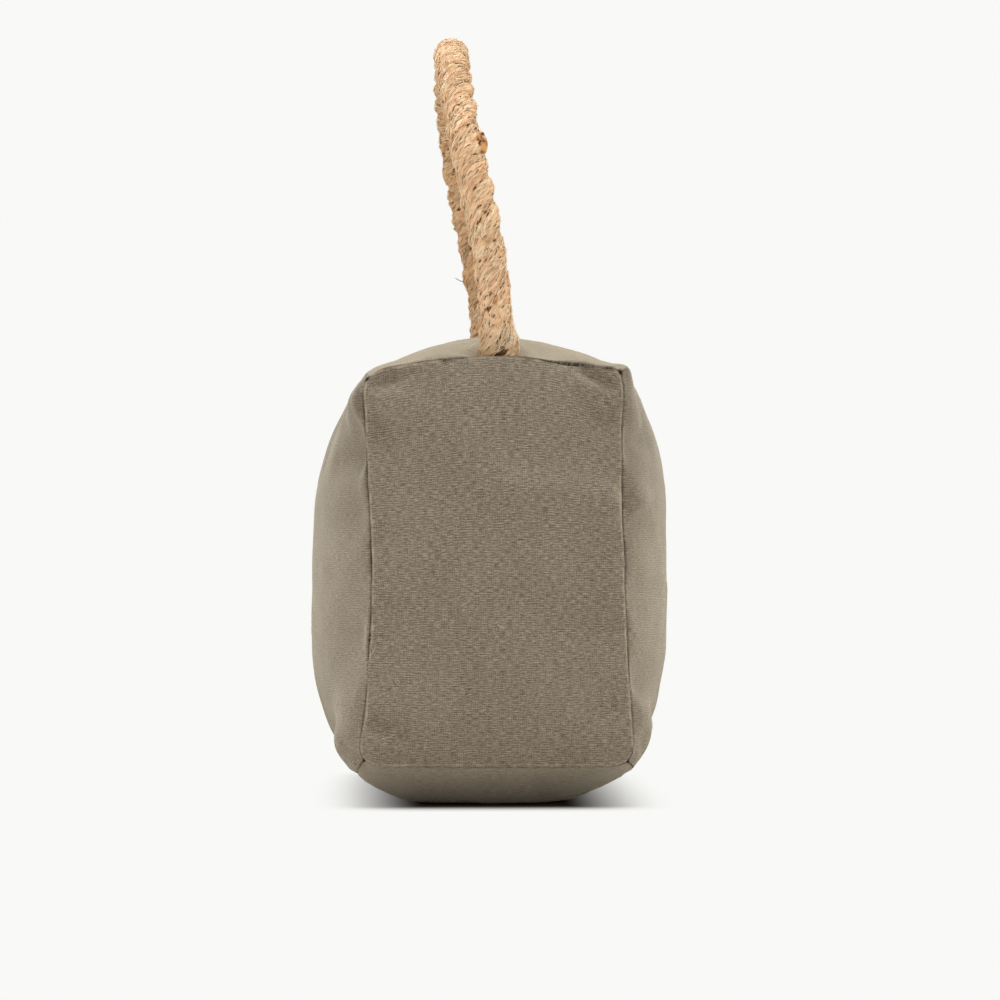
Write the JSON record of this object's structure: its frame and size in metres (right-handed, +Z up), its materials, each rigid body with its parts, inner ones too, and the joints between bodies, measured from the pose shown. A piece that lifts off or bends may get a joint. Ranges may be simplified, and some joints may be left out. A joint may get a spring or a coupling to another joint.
{
  "type": "door stop",
  "caption": "Free-standing weighted door stop: a stuffed box-shaped canvas bag with an arched carrying handle of thick jute rope sewn into the top seams at its two ends.",
  "frame": {"origin": "on the floor under the middle of the bag", "axes": "+Z up, +Y along the bag's length from one rope end to the other, +X across its thickness; the end panel in the picture faces -Y"},
  "size_m": [0.1323, 0.208, 0.2825],
  "materials": {
    "canvas": "matte plain-weave cotton canvas, taupe",
    "jute": "hairy natural jute, three laid strands"
  },
  "bodies": {
    "root": {"bag": "canvas", "rope_handle": "jute"}
  },
  "joints": []
}
